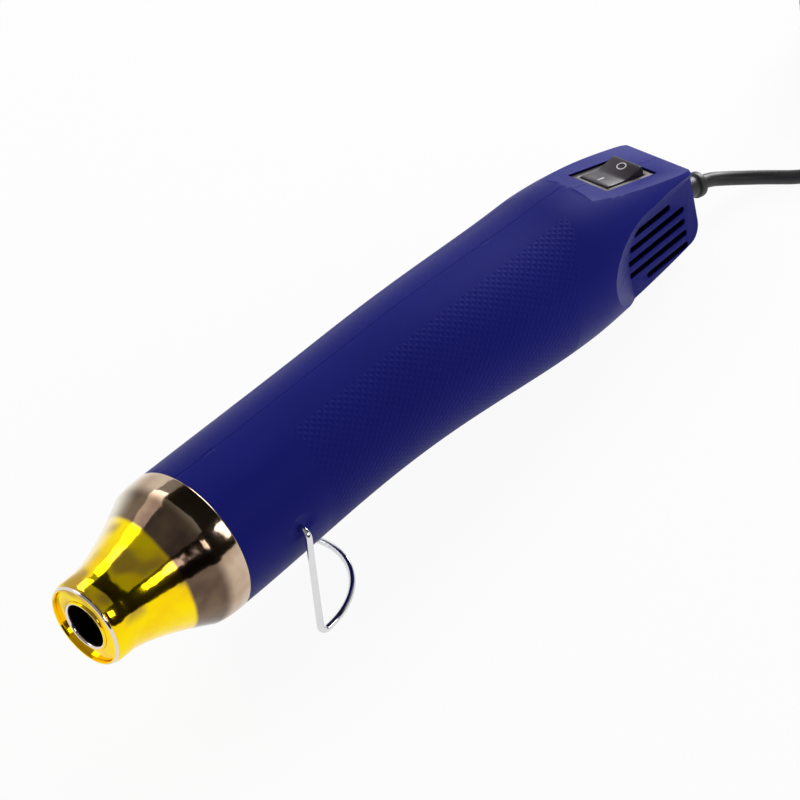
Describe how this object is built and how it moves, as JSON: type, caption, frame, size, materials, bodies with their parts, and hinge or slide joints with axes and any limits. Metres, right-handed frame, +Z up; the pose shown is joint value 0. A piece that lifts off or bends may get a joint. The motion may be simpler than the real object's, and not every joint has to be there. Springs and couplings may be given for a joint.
{
  "type": "embossing heat tool",
  "caption": "Slim hot-air craft tool: round barrel body, flared metal nozzle, rocker switch on a sloping rear plate, wire stand that swings down, side vents and a coiled mains lead.",
  "frame": {"origin": "on the floor under the middle of the tool, lead left out: the tool rests on its wire stand in front and on its belly behind", "axes": "+X from the nozzle toward the tail and the lead, +Y toward the side with the screw heads, +Z up"},
  "size_m": [0.4516, 0.0611, 0.0594],
  "materials": {
    "blue_plastic": "deep royal-blue moulded plastic, matte, pebbled on the grip",
    "gold_steel": "polished sheet steel with a heat-tinted gold neck and a brown collar",
    "steel": "plain steel",
    "bright_wire": "bright plated spring wire",
    "mica": "mica board, dull",
    "black_plastic": "black moulded plastic",
    "cord_rubber": "black flexible cord sheath, satin",
    "copper": "copper winding",
    "brass": "brass",
    "nickel": "nickel-plated brass",
    "circuit_board": "green circuit board",
    "white_tie": "white plastic-covered tie"
  },
  "bodies": {
    "tool": {"housing_left": "blue_plastic", "housing_right": "blue_plastic", "nozzle_bell": "gold_steel", "outlet_plate": "gold_steel", "heater_sleeve": "mica", "mica_board_upright": "mica", "mica_board_flat": "mica", "heater_winding": "copper", "heater_disc": "mica", "thermal_cutout": "steel", "motor_can": "steel", "motor_end_cap": "black_plastic", "motor_magnets": "black_plastic", "motor_mount": "black_plastic", "motor_screws": "steel", "rectifier_board": "circuit_board", "rectifier_diodes": "black_plastic", "smoothing_capacitor": "black_plastic", "switch_frame": "black_plastic", "switch_terminals": "brass", "housing_screws": "steel", "cord_clamp": "black_plastic", "clamp_screws": "steel", "cord_inner_end": "cord_rubber", "strain_relief": "cord_rubber", "power_cord": "cord_rubber", "cord_coil": "cord_rubber", "cord_end": "cord_rubber", "coil_tie": "white_tie", "plug_body": "black_plastic", "plug_pins": "nickel", "plug_pin_sleeves": "black_plastic"},
    "rotor": {"motor_shaft": "steel", "motor_armature": "copper", "fan_impeller": "black_plastic"},
    "switch_rocker": {"rocker": "black_plastic"},
    "stand": {"wire_stand": "bright_wire"}
  },
  "joints": [
    {"name": "stand_fold", "type": "hinge", "parent": "tool", "child": "stand", "pos_m": [-0.0557, 0, 0.0345], "axis": [0, 1, 0], "range_deg": [-20, 85]},
    {"name": "switch_rock", "type": "hinge", "parent": "tool", "child": "switch_rocker", "pos_m": [0.09917, 0, 0.03395], "axis": [0, 1, 0], "range_deg": [0, 22]},
    {"name": "fan_spin", "type": "hinge", "parent": "tool", "child": "rotor", "pos_m": [0.00026, 0, 0.03213], "axis": [0.9982, 0, -0.0602], "continuous": true}
  ]
}
